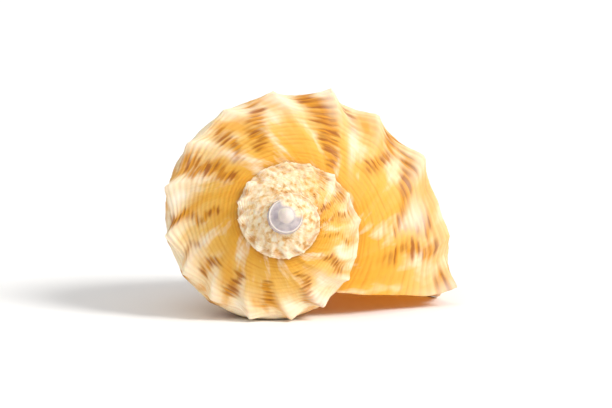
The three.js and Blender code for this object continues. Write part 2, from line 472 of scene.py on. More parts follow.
@dataclass(frozen=True)
class Wall:
    """The wall between outside and hollow, and how it ends at the lip and the pillar."""

    coil: Coil
    # one thickness for each station of the mouth's outline
    thickness: tuple[float, ...] = (
        1.8, 1.8, 1.8, 1.8, 2.0, 2.4, 2.0, 1.9, 1.9, 1.9, 1.8, 1.7, 1.6, 1.5, 1.5, 2.4, 4.2, 5.4, 5.6, 4.0,
        2.0, 1.6,
    )
    lip_thinning: float = 0.5
    thinning_degrees: float = 30.0
    round_degrees: float = 1.6
    round_share: float = 0.8
    callus: float = 0.6
    notch_depth: float = 5.0
    notch_width: float = 0.8
    notch_degrees: float = 22.0
    pillar_width: float = 1.6
    pillar_rounding: dict[RoundingSide, float] = field(
        default_factory=lambda: {RoundingSide.OUTSIDE: 1.4, RoundingSide.HOLLOW: 2.4}
    )
    rounding_degrees: dict[RoundingSide, float] = field(
        default_factory=lambda: {RoundingSide.OUTSIDE: 28.0, RoundingSide.HOLLOW: 48.0}
    )

    def at(self, station: np.ndarray) -> np.ndarray:
        """Reads the wall's thickness.

        Args:
            station: Places on the outline.

        Returns:
            Thickness at each of them.
        """
        table = np.array(self.thickness)
        whole = np.floor(station).astype(int)
        share = station - whole
        return table[whole % len(table)] * (1.0 - share) + table[(whole + 1) % len(table)] * share

    def pillar_end(self, side: RoundingSide, growth: np.ndarray, station: np.ndarray) -> np.ndarray:
        """How much one side of the pillar's free edge is rounded off."""
        end = smoothstep(growth, -self.rounding_degrees[side], 0.0)
        return self.pillar_rounding[side] * bump(station - self.coil.pillar, self.pillar_width) * end

    def outer_lip(self, station: np.ndarray) -> np.ndarray:
        """Returns 1 along the outer lip and 0 along the pillar and the parietal wall."""
        tip = self.coil.canal_tip
        return smoothstep(station, 0.0, 1.0) * (1.0 - smoothstep(station, tip, tip + 1.0))

    def lip_rounding(self, growth: np.ndarray, station: np.ndarray) -> np.ndarray:
        """Rounds the edge of the outer lip.

        Args:
            growth: Growth stages.
            station: Places on the outline.

        Returns:
            How much each side of the lip is drawn in.
        """
        near = np.clip(1.0 + growth / self.round_degrees, 0.0, 1.0)
        half = 0.5 * self.lip_thinning * self.at(station)
        return self.round_share * half * self.outer_lip(station) * (1.0 - np.sqrt(1.0 - near**2))

    def inset(self, growth: np.ndarray, station: np.ndarray) -> np.ndarray:
        """Works out how far the hollow's surface lies inside the outline.

        Args:
            growth: Growth stages.
            station: Places on the outline.

        Returns:
            The distance, negative because it is inwards.
        """
        outer = self.outer_lip(station)
        near_lip = smoothstep(growth, -self.thinning_degrees, 0.0)
        thinned = 1.0 - (1.0 - self.lip_thinning) * outer * near_lip
        notch = self.notch_depth * bump(station - self.coil.canal_tip, self.notch_width)
        notch = notch * smoothstep(growth, -self.notch_degrees, 0.0)
        pillar = self.pillar_end(RoundingSide.HOLLOW, growth, station)
        return notch + pillar + self.lip_rounding(growth, station) - thinned * self.at(station)


def hex_colour(code: str) -> tuple[float, float, float, float]:
    """Turns an sRGB colour into linear colour with full cover.

    Args:
        code: The colour as a hex value.

    Returns:
        Red, green, blue and cover.
    """
    parts = [int(code[i : i + 2], 16) / 255.0 for i in (1, 3, 5)]
    linear = [part / 12.92 if part <= 0.04045 else ((part + 0.055) / 1.055) ** 2.4 for part in parts]
    return (*linear, 1.0)


def add_node(
    tree: bpy.types.NodeTree, kind: str, settings: dict | None = None, links: dict | None = None
) -> bpy.types.Node:
    """Adds one shader node.

    Args:
        tree: The material's node tree.
        kind: The node's type name.
        settings: Attributes of the node, and values of its inputs where the key names an input.
        links: Output sockets to join to the node's inputs, by input name or index.

    Returns:
        The new node.
    """
    made = tree.nodes.new(kind)
    for key, value in (settings or {}).items():
        if isinstance(key, str) and hasattr(made, key):
            setattr(made, key, value)
        else:
            made.inputs[key].default_value = value
    for key, socket in (links or {}).items():
        tree.links.new(socket, made.inputs[key])
    return made


def set_ramp(ramp_node: bpy.types.Node, stops: tuple[tuple[float, str], ...]) -> bpy.types.NodeSocket:
    """Gives a colour ramp its stops.

    Args:
        ramp_node: The colour ramp.
        stops: Positions and sRGB hex values.

    Returns:
        The ramp's colour.
    """
    elements = ramp_node.color_ramp.elements
    while len(elements) > 1:
        elements.remove(elements[-1])
    (first_position, first_code), *others = stops
    elements[0].position = first_position
    elements[0].color = hex_colour(first_code)
    for position, code in others:
        elements.new(position).color = hex_colour(code)
    return ramp_node.outputs["Color"]


def new_material(name: str) -> tuple[bpy.types.Material, bpy.types.NodeTree, bpy.types.Node]:
    """Makes an empty material.

    Args:
        name: Its name.

    Returns:
        The material, its node tree and its surface shader.
    """
    material = bpy.data.materials.new(name)
    material.use_nodes = True
    tree = material.node_tree
    return material, tree, tree.nodes["Principled BSDF"]


@dataclass(frozen=True)
class LimyOutside:
    """Rough limy outer shell, grown in layers of calcite: a dull sheen like unglazed porcelain.

    It is ochre near the suture, darkened by painted shade in the suture's crease, and cream at the shoulder,
    with golden brown flames broken into dashes by the cords, painted shade between the early rim's spines,
    a grainy start, and a lilac, half glassy larval shell.
    """

    name: str = "limy_outer_shell"
    roughness: float = 0.5
    glassy_roughness: float = 0.2
    ior: float = 1.5
    # wet lime would shine more; the dry outside keeps only a weak sheen
    specular_level: float = 0.25
    # a little light goes into the lime and comes out warmer, about 2 mm away in red
    light_inside: float = 0.2
    light_reach: tuple[float, float, float] = (1.0, 0.4, 0.12)
    light_depth: float = 2.0
    gold: str = "#E9A730"
    cream: str = "#FFF0D6"
    furrow: str = "#E0A244"
    chalk: str = "#FFF3E2"
    # position across the whorl, as a share of the way round the mouth's outline
    across_the_whorl: tuple[tuple[float, str], ...] = (
        # the two stops at 0 and 0.01 are painted shade in the suture's crease under the whorl above
        (0.0, "#A06C2C"), (0.01, "#B98238"), (0.03, "#E4A432"), (0.06, "#EBB042"), (0.13, "#F0C064"),
        (0.19, "#F6D69C"), (0.235, "#FBE7C4"), (0.30, "#F7DCB0"), (0.45, "#F0CC92"), (0.58, "#F3D5A6"),
        (0.68, "#F6E0C2"),
    )
    # brown of the flames, and of the painted shade between the early rim's spines
    flame_and_gap_shade_tones: tuple[tuple[float, str], ...] = ((0.4, "#A05404"), (0.62, "#DC9418"))
    early_grain: tuple[tuple[float, str], ...] = ((0.34, "#D6A468"), (0.45, "#F3D8AC"), (0.58, "#FBEED4"))
    pearly: tuple[tuple[float, str], ...] = ((0.35, "#B3A7AC"), (0.62, "#CDC1C0"))
    # grains of the early whorls, in millimetres; the real ones are finer and wouldn't show
    grain_size: float = 1.25
    # Cells once round the whorl and once round the mouth's outline. At the lip a whorl is about 270 mm
    # round and the outline about 160 mm, so drifts are 10 by 18 mm and dashes 17 by 1.3 mm. Growth lines are
    # 1.2 by 4.7 mm, drawn coarser than the real ones of a few tenths of a millimetre, so that they show.
    drift_cells: tuple[float, float] = (27.0, 9.0)
    dash_cells: tuple[float, float] = (16.0, 120.0)
    growth_line_cells: tuple[float, float] = (220.0, 34.0)
    growth_line_height: float = 0.2
    growth_line_strength: float = 0.35

    def coil_noise(
        self,
        tree: bpy.types.NodeTree,
        coords: bpy.types.NodeSocket,
        cells: tuple[float, float],
        detail: float,
    ) -> bpy.types.NodeSocket:
        """Lays a noise along the coil.

        Args:
            tree: The material's node tree.
            coords: The shell's UV map.
            cells: Cells for each turn, and for once round the mouth.
            detail: How many finer layers the noise has.

        Returns:
            The noise.
        """
        stretched = add_node(tree, "ShaderNodeMapping", {"Scale": (*cells, 1.0)}, {"Vector": coords})
        settings = {"Scale": 1.0, "Detail": detail}
        return add_node(tree, "ShaderNodeTexNoise", settings, {"Vector": stretched.outputs[0]}).outputs["Fac"]

    def colour(
        self, tree: bpy.types.NodeTree, coords: bpy.types.NodeSocket, marks: dict[str, bpy.types.NodeSocket]
    ) -> bpy.types.NodeSocket:
        """Lays the colours over each other, from the ground colour to the pale blotches.

        Args:
            tree: The material's node tree.
            coords: The shell's UV map.
            marks: The marks that the shell's mesh carries.

        Returns:
            The finished colour.
        """
        ground = add_node(tree, "ShaderNodeValToRGB", links={"Fac": marks["along"]})
        drift = self.coil_noise(tree, coords, self.drift_cells, 3.0)
        dashes = self.coil_noise(tree, coords, self.dash_cells, 2.0)
        grown = add_node(tree, "ShaderNodeSeparateXYZ", links={"Vector": coords}).outputs["X"]
        shares = {}
        for key, value, given, wanted in (
            ("late_gold", grown, (-0.36, -0.08), (0.0, 0.5)),
            ("gold", drift, (0.5, 0.66), (0.0, 0.8)),
            ("cream", drift, (0.48, 0.3), (0.0, 0.8)),
            ("furrow", dashes, (0.4, 0.62), (0.04, 0.36)),
        ):
            ends = {"From Min": given[0], "From Max": given[1], "To Min": wanted[0], "To Max": wanted[1]}
            shares[key] = add_node(tree, "ShaderNodeMapRange", ends, {"Value": value}).outputs[0]
        in_grooves = {0: marks["groove"], 1: shares["furrow"]}
        furrow = add_node(tree, "ShaderNodeMath", {"operation": "MULTIPLY"}, in_grooves).outputs[0]
        place = add_node(tree, "ShaderNodeTexCoord").outputs["Object"]
        settings = {"Scale": 1.0 / (self.grain_size * MM), "Detail": 4.0}
        speckle = add_node(tree, "ShaderNodeTexNoise", settings, {"Vector": place}).outputs["Fac"]
        grain = add_node(tree, "ShaderNodeValToRGB", links={"Fac": speckle})
        # the brown marks: flames, and painted shade between the early rim's spines
        brown_and_shade_tones = add_node(tree, "ShaderNodeValToRGB", links={"Fac": dashes})
        pearly = add_node(tree, "ShaderNodeValToRGB", links={"Fac": speckle})
        colour = set_ramp(ground, self.across_the_whorl)
        for factor, above, mode in (
            (shares["late_gold"], self.gold, "MIX"),
            (shares["gold"], self.gold, "MIX"),
            (shares["cream"], self.cream, "MIX"),
            (furrow, self.furrow, "MULTIPLY"),
            (marks["granular"], set_ramp(grain, self.early_grain), "MIX"),
            (marks["brown"], set_ramp(brown_and_shade_tones, self.flame_and_gap_shade_tones), "MIX"),
            (marks["glassy"], set_ramp(pearly, self.pearly), "MIX"),
            (marks["pale"], self.chalk, "MIX"),
        ):
            settings = {"data_type": "RGBA", "blend_type": mode}
            mixed = add_node(tree, "ShaderNodeMix", settings, {0: factor, 6: colour})
            if isinstance(above, str):
                mixed.inputs[7].default_value = hex_colour(above)
            else:
                tree.links.new(above, mixed.inputs[7])
            colour = mixed.outputs[2]
        return colour

    def build(self) -> bpy.types.Material:
        """Builds the material from the marks that the shell's mesh carries.

        Returns:
            The finished material.
        """
        material, tree, shader = new_material(self.name)
        marks = {
            key: add_node(tree, "ShaderNodeAttribute", {"attribute_name": key}).outputs["Fac"]
            for key in ("brown", "pale", "granular", "glassy", "groove", "along")
        }
        coords = add_node(tree, "ShaderNodeUVMap", {"uv_map": COIL_MAP}).outputs["UV"]
        tree.links.new(self.colour(tree, coords, marks), shader.inputs["Base Color"])
        lines = self.coil_noise(tree, coords, self.growth_line_cells, 3.0)
        ends = {"To Min": self.roughness - 0.1, "To Max": self.roughness + 0.14}
        finish = add_node(tree, "ShaderNodeMapRange", ends, {"Value": lines}).outputs[0]
        settings = {"data_type": "FLOAT", 3: self.glassy_roughness}
        polished = add_node(tree, "ShaderNodeMix", settings, {0: marks["glassy"], 2: finish})
        tree.links.new(polished.outputs[0], shader.inputs["Roughness"])
        settings = {"Strength": self.growth_line_strength, "Distance": self.growth_line_height * MM}
        raised = add_node(tree, "ShaderNodeBump", settings, {"Height": lines})
        tree.links.new(raised.outputs["Normal"], shader.inputs["Normal"])
        shader.inputs["IOR"].default_value = self.ior
        shader.inputs["Specular IOR Level"].default_value = self.specular_level
        shader.inputs["Subsurface Weight"].default_value = self.light_inside
        shader.inputs["Subsurface Radius"].default_value = self.light_reach
        shader.inputs["Subsurface Scale"].default_value = self.light_depth * MM
        return material


@dataclass(frozen=True)
class GlazedThroat:
    """Smooth aragonite glaze of the inside: shines like porcelain, apricot orange, deeper further in."""

    name: str = "glazed_throat"
    inwards: tuple[tuple[float, str], ...] = (
        (0.0, "#E8902F"), (0.75, "#F0A548"), (0.95, "#F6B765"), (1.0, "#FBE0B4"),
    )
    # growth over which the colour deepens and the glow fades, in turns before the lip
    deepens_over: float = 0.3
    clouds: tuple[tuple[float, str], ...] = ((0.3, "#F0D2B0"), (0.6, "#FFFFFF"))
    cloud_size: float = 14.3
    cloudiness: float = 0.6
    glow: float = 0.34
    glow_inside: float = 0.15
    glow_colour: str = "#E8A020"
    roughness: float = 0.22
    ior: float = 1.55

    def build(self) -> bpy.types.Material:
        """Builds the material; its colour follows growth from the lip inwards.

        Returns:
            The finished material.
        """
        material, tree, shader = new_material(self.name)
        coords = add_node(tree, "ShaderNodeUVMap", {"uv_map": COIL_MAP}).outputs["UV"]
        grown = add_node(tree, "ShaderNodeSeparateXYZ", links={"Vector": coords}).outputs["X"]
        ends = {"From Min": -self.deepens_over, "From Max": 0.0}
        depth = add_node(tree, "ShaderNodeMapRange", ends, {"Value": grown})
        colour = add_node(tree, "ShaderNodeValToRGB", links={"Fac": depth.outputs[0]})
        place = add_node(tree, "ShaderNodeTexCoord").outputs["Object"]
        settings = {"Scale": 1.0 / (self.cloud_size * MM), "Detail": 2.0}
        cloud = add_node(tree, "ShaderNodeTexNoise", settings, {"Vector": place}).outputs["Fac"]
        tone = add_node(tree, "ShaderNodeValToRGB", links={"Fac": cloud})
        settings = {"data_type": "RGBA", "blend_type": "MULTIPLY", 0: self.cloudiness}
        both = {6: set_ramp(colour, self.inwards), 7: set_ramp(tone, self.clouds)}
        mixed = add_node(tree, "ShaderNodeMix", settings, both)
        tree.links.new(mixed.outputs[2], shader.inputs["Base Color"])
        ends = {"To Min": self.roughness - 0.05, "To Max": self.roughness + 0.1}
        finish = add_node(tree, "ShaderNodeMapRange", ends, {"Value": cloud})
        tree.links.new(finish.outputs[0], shader.inputs["Roughness"])
        shader.inputs["IOR"].default_value = self.ior
        # A faint light of its own stands in for the daylight that comes through the thin wall, and warms the
        # table under the lip. The real shell gives off no light.
        shader.inputs["Emission Color"].default_value = hex_colour(self.glow_colour)
        ends = {
            "From Min": -self.deepens_over,
            "From Max": 0.0,
            "To Min": self.glow_inside * self.glow,
            "To Max": self.glow,
        }
        fading = add_node(tree, "ShaderNodeMapRange", ends, {"Value": grown})
        tree.links.new(fading.outputs[0], shader.inputs["Emission Strength"])
        return material


@dataclass(frozen=True)
class CloudedLime:
    """Lime of one tone that drifts into another, as glaze or as a broken edge."""

    name: str
    tones: tuple[tuple[float, str], ...]
    # size of the drifts in millimetres
    cloud_size: float
    detail: float
    roughness: tuple[float, float]
    ior: float = 1.5

    def build(self) -> bpy.types.Material:
        """Builds the material; where it is darker it is smoother too.

        Returns:
            The finished material.
        """
        material, tree, shader = new_material(self.name)
        place = add_node(tree, "ShaderNodeTexCoord").outputs["Object"]
        settings = {"Scale": 1.0 / (self.cloud_size * MM), "Detail": self.detail}
        cloud = add_node(tree, "ShaderNodeTexNoise", settings, {"Vector": place}).outputs["Fac"]
        tone = add_node(tree, "ShaderNodeValToRGB", links={"Fac": cloud})
        tree.links.new(set_ramp(tone, self.tones), shader.inputs["Base Color"])
        ends = {"To Min": self.roughness[0], "To Max": self.roughness[1]}
        finish = add_node(tree, "ShaderNodeMapRange", ends, {"Value": cloud})
        tree.links.new(finish.outputs[0], shader.inputs["Roughness"])
        shader.inputs["IOR"].default_value = self.ior
        return material


# Thin glaze that the snail laid over the whorl inside its mouth: glossy, cream with an orange flush.
CALLUS_GLAZE = CloudedLime(
    "callus_glaze",
    ((0.3, "#F0A24C"), (0.65, "#FBDDB0")),
    cloud_size=11.1,
    detail=2.0,
    roughness=(0.18, 0.32),
    ior=1.55,
)

# The broken edge of the lip, where the layers of lime end: dull, cream with brown where a flame meets it.
LIP_EDGE_TONES = ((0.35, "#D9943F"), (0.6, "#FBE6C2"))
LIP_EDGE = CloudedLime("lip_edge", LIP_EDGE_TONES, cloud_size=5.56, detail=3.0, roughness=(0.42, 0.6))

# The same layers where the shell has worn flat on what it lies on, a little duller.
WORN_SPOT = CloudedLime("worn_spot", LIP_EDGE_TONES, cloud_size=5.56, detail=3.0, roughness=(0.52, 0.7))


@dataclass(frozen=True)
class Stretch:
    """One stretch of growth: where it ends, its whorl, and the glaze over that whorl."""

    end: float
    whorl: bpy.types.Object
    glaze: bpy.types.Object


@dataclass
class Shell:
    """The whole shell: whorls, callus, hollow and mouth, grown as one body."""

    coil: Coil = field(default_factory=Coil)
    stretch: float = 168.0
    end_reach: float = 12.0
    stage_step: float = 1.6
    # the whorls before the last one are smaller, so their rings may lie further apart
    last_whorl: float = -360.0
    earlier_step: float = 1.5
    ramp_stations: int = 72
    body_stations: int = 112
    inner_stations: int = 24
    lip_rings: int = 6
    lip_gap: float = 0.3
    callus_rings: int = 43
    callus_stations: int = 60
    hollow_from: float = -416.0
    hollow_stretch: float = 140.0
    hollow_step: float = 3.5
    hollow_stations: int = 88
    ground_depth: float = 0.05
    ground_width: float = 0.2
    smooth_angle: float = 50.0

    def __post_init__(self) -> None:
        """Makes the relief, the wall and the larval shell from the coil."""
        self.sculpture = Sculpture(self.coil)
        self.wall = Wall(self.coil)
        self.larval = LarvalShell(self.coil)

    def outside_point(self, growth: np.ndarray, station: np.ndarray) -> np.ndarray:
        """Places points of the sculptured outside.

        Args:
            growth: Growth stages.
            station: Places on the outline.

        Returns:
            The points, in metres.
        """
        low, spine = self.sculpture.relief(growth, station)
        rounded = self.wall.pillar_end(RoundingSide.OUTSIDE, growth, station)
        rounded = rounded + self.wall.lip_rounding(growth, station)
        return self.coil.place(growth, station, low - rounded, spine)

    def hollow_point(self, growth: np.ndarray, station: np.ndarray) -> np.ndarray:
        """Places points of the hollow's surface."""
        return self.coil.place(growth, station, self.wall.inset(growth, station))

    def callus_point(self, growth: np.ndarray, station: np.ndarray) -> np.ndarray:
        """Places points of the glaze over a whorl."""
        return self.coil.place(growth, station, self.wall.callus)

    def round_the_mouth(self, count: int) -> np.ndarray:
        """Spreads stations evenly once round the mouth's outline."""
        return np.linspace(0.0, self.coil.stations, count, endpoint=False)

    def outside_stations(self) -> np.ndarray:
        """Spreads stations closely enough for every cord.

        Returns:
            Stations on the ramp, the body and the plain side towards the axis.
        """
        shoulder, tip = self.coil.shoulder, self.coil.canal_tip
        ramp = np.linspace(0.0, shoulder, self.ramp_stations, endpoint=False)
        body = np.linspace(shoulder, tip, self.body_stations, endpoint=False)
        inner = np.linspace(tip, self.coil.stations, self.inner_stations, endpoint=False)
        return np.concatenate([ramp, body, inner])

    def ring_faces(self, rings: int, across: int) -> tuple[np.ndarray, np.ndarray, np.ndarray]:
        """Joins rings of points to a closed tube.

        Args:
            rings: Number of rings.
            across: Number of points in each ring.

        Returns:
            The quads of the sides, and the triangles of the first and of the last end.
        """
        ring, i = np.meshgrid(np.arange(1, rings), np.arange(across), indexing="ij")
        ring, i = ring.ravel(), i.ravel()
        right = (i + 1) % across
        here, before = ring * across, (ring - 1) * across
        quads = np.stack([here + i, here + right, before + right, before + i], axis=1)
        turn = np.arange(across)
        onwards = (turn + 1) % across
        far = (rings - 1) * across
        first, last = rings * across, rings * across + 1
        near_end = np.stack([np.full(across, first), turn, onwards], axis=1)
        far_end = np.stack([np.full(across, last), far + onwards, far + turn], axis=1)
        return quads, near_end, far_end

    def ring_map(self, stages: np.ndarray, stations: np.ndarray) -> np.ndarray:
        """Writes growth and station on the corners of the faces that ring_faces makes.

        Args:
            stages: Growth stage of each ring.
            stations: Places on the outline, once round.

        Returns:
            The UV map, corner after corner.
        """
        rings, across = len(stages), len(stations)
        ring, i = np.meshgrid(np.arange(1, rings), np.arange(across), indexing="ij")
        ring, i = ring.ravel(), i.ravel()
        next_station = np.append(stations[1:], float(self.coil.stations))
        low, high = stages[ring - 1] / FULL_TURN, stages[ring] / FULL_TURN
        left, right = stations[i] / self.coil.stations, next_station[i] / self.coil.stations
        sides = np.stack([high, left, high, right, low, right, low, left], axis=1)
        flat = stations / self.coil.stations
        ends = []
        for growth in (stages[0], stages[-1]):
            grown = np.full(across, growth / FULL_TURN)
            ends.append(np.stack([grown, flat, grown, flat, grown, flat], axis=1).ravel())
        return np.concatenate([sides.ravel(), *ends])

    def sweep(
        self,
        name: str,
        point_at: PointPlacer,
        stages: np.ndarray,
        stations: np.ndarray,
        sides: Surface,
        end: Surface,
        reach_at_end: float | None = None,
    ) -> bpy.types.Object:
        """Builds a closed solid over rings of points.

        Args:
            name: Name of the new object.
            point_at: Places points for growth stages and stations.
            stages: Growth stage of each ring.
            stations: Places on the outline, once round.
            sides: Kind of surface of the sides.
            end: Kind of surface of both ends.
            reach_at_end: How many degrees the last end's middle reaches past its ring.

        Returns:
            The object, with growth and station in its UV map.
        """
        reach = self.end_reach if reach_at_end is None else reach_at_end
        across = len(stations)
        grid_growth, grid_station = np.meshgrid(stages, stations, indexing="ij")
        points = point_at(grid_growth, grid_station).reshape(-1, 3)
        middles = []
        for growth in (stages[0] - self.end_reach, stages[-1] + reach):
            middles.append(point_at(np.full(across, growth), stations).mean(axis=0))
        points = np.vstack([points, middles])
        quads, near_end, far_end = self.ring_faces(len(stages), across)
        mesh = bpy.data.meshes.new(name)
        mesh.from_pydata(points.tolist(), [], quads.tolist() + near_end.tolist() + far_end.tolist())
        mesh.uv_layers.new(name=COIL_MAP).data.foreach_set("uv", self.ring_map(stages, stations))
        kinds = np.full(len(mesh.polygons), int(end), dtype=np.int32)
        kinds[: len(quads)] = int(sides)
        for _ in Surface:
            mesh.materials.append(None)
        mesh.polygons.foreach_set("material_index", kinds)
        mesh.update()
        made = bpy.data.objects.new(name, mesh)
        bpy.context.collection.objects.link(made)
        return made

    def combine(
        self, body: bpy.types.Object, tool: bpy.types.Object, joining: Joining, keep: bool = False
    ) -> None:
        """Joins or cuts one solid by another.

        Args:
            body: The solid that is changed.
            tool: The solid that is joined to it or cut out of it.
            joining: Whether it is joined or cut out.
            keep: Whether the tool is used again later.
        """
        bpy.ops.object.select_all(action="DESELECT")
        bpy.context.view_layer.objects.active = body
        modifier = body.modifiers.new(joining.name.lower(), "BOOLEAN")
        modifier.operation = joining.value
        modifier.solver = "MANIFOLD"
        modifier.object = tool
        bpy.ops.object.modifier_apply(modifier=modifier.name)
        if not keep:
            mesh = tool.data
            bpy.data.objects.remove(tool)
            bpy.data.meshes.remove(mesh)

    def grow_stretch(self, start: float, end: float) -> Stretch:
        """Grows one stretch of whorl and the glaze over it.

        Args:
            start: Growth stage at which it starts.
            end: Growth stage at which it ends, 0 for the one with the lip.

        Returns:
            The stretch.
        """
        at_lip = end == 0.0
        coarser = 1.0 if end > self.last_whorl else self.earlier_step
        rings = max(2, round((end - start) / (self.stage_step * coarser)))
        stages = np.linspace(start, end, rings + 1)
        if at_lip:
            rounding = np.sin(np.linspace(0.0, np.pi / 2, self.lip_rings))
            edge = -self.wall.round_degrees * (1.0 - rounding)
            stages = np.concatenate([stages[stages < edge[0] - self.lip_gap], edge])
        reach = 0.0 if at_lip else self.end_reach
        stations = self.outside_stations()
        whorl = self.sweep(
            "whorl", self.outside_point, stages, stations, Surface.OUTSIDE, Surface.LIP_EDGE, reach
        )
        stages = np.linspace(start, end, self.callus_rings)
        stations = self.round_the_mouth(self.callus_stations)
        glaze = self.sweep("callus", self.callus_point, stages, stations, Surface.CALLUS, Surface.CALLUS)
        return Stretch(end, whorl, glaze)

    def grow(self) -> list[Stretch]:
        """Grows all stretches, from the lip back to the first whorl.

        Returns:
            The stretches, the one with the lip first.
        """
        stretches = []
        end = 0.0
        while end > self.coil.first_stage:
            start = max(self.coil.first_stage, end - self.stretch)
            stretches.append(self.grow_stretch(start, end))
            end -= self.stretch
        return stretches

    def hollow_out(self, body: bpy.types.Object, stretches: list[Stretch]) -> None:
        """Cuts the hollow, which stops short of the glaze over each earlier whorl.

        Args:
            body: The joined whorls.
            stretches: All stretches of growth.
        """
        stations = self.round_the_mouth(self.hollow_stations)
        rings = round(self.hollow_stretch / self.hollow_step)
        for start in np.arange(self.hollow_from, 0.0, self.hollow_stretch):
            stages = np.linspace(start, start + self.hollow_stretch, rings + 1)
            hollow = self.sweep(
                "hollow", self.hollow_point, stages, stations, Surface.THROAT, Surface.THROAT
            )
            for stretch in stretches:
                if stretch.end < start - 2 * self.end_reach:
                    self.combine(hollow, stretch.glaze, Joining.DIFFERENCE, keep=True)
            self.combine(body, hollow, Joining.DIFFERENCE)
        for stretch in stretches:
            bpy.data.objects.remove(stretch.glaze)

    def ground(self) -> bpy.types.Object:
        """Adds the block under the shell whose top wears its lowest points flat.

        Returns:
            The block.
        """
        bpy.ops.object.select_all(action="DESELECT")
        bpy.ops.mesh.primitive_cube_add(size=1.0, location=(0.0, 0.0, -self.ground_depth / 2))
        block = bpy.context.object
        block.scale = (self.ground_width, self.ground_width, self.ground_depth)
        bpy.ops.object.transform_apply(location=True, rotation=True, scale=True)
        for _ in Surface:
            block.data.materials.append(None)
        kinds = np.full(len(block.data.polygons), int(Surface.WORN), dtype=np.int32)
        block.data.polygons.foreach_set("material_index", kinds)
        return block

    def build(self) -> bpy.types.Object:
        """Grows the whorls, joins them, and cuts the hollow and the worn spots.

        Returns:
            The shell, not yet painted.
        """
        stretches = self.grow()
        body = stretches[0].whorl
        for stretch in stretches[1:]:
            self.combine(body, stretch.whorl, Joining.UNION)
        self.combine(body, self.larval.dome(), Joining.UNION)
        self.combine(body, self.larval.bulb(), Joining.UNION)
        LOG.info("whorls joined: %d faces", len(body.data.polygons))
        self.hollow_out(body, stretches)
        self.combine(body, self.ground(), Joining.DIFFERENCE)
        LOG.info("hollow cut: %d faces", len(body.data.polygons))
        body.name = "shell_visual"
        body.data.name = "shell_visual"
        return body

    def dress(self, piece: bpy.types.Object) -> None:
        """Gives each kind of surface its finish, and smooths the shading.

        Args:
            piece: The painted shell.
        """
        finishes = {
            Surface.OUTSIDE: LimyOutside(),
            Surface.THROAT: GlazedThroat(),
            Surface.CALLUS: CALLUS_GLAZE,
            Surface.LIP_EDGE: LIP_EDGE,
            Surface.WORN: WORN_SPOT,
        }
        for surface, finish in finishes.items():
            piece.data.materials[int(surface)] = finish.build()
        bpy.ops.object.select_all(action="DESELECT")
        piece.select_set(True)
        bpy.context.view_layer.objects.active = piece
        bpy.ops.object.shade_smooth_by_angle(angle=math.radians(self.smooth_angle))


@dataclass(frozen=True)
class Places:
    """Where each vertex of the shell lies on the coil, and what the relief is there."""

    growth: np.ndarray
    station: np.ndarray
    drawn_growth: np.ndarray
    cord: np.ndarray
    keel: np.ndarray
    on_body: np.ndarray


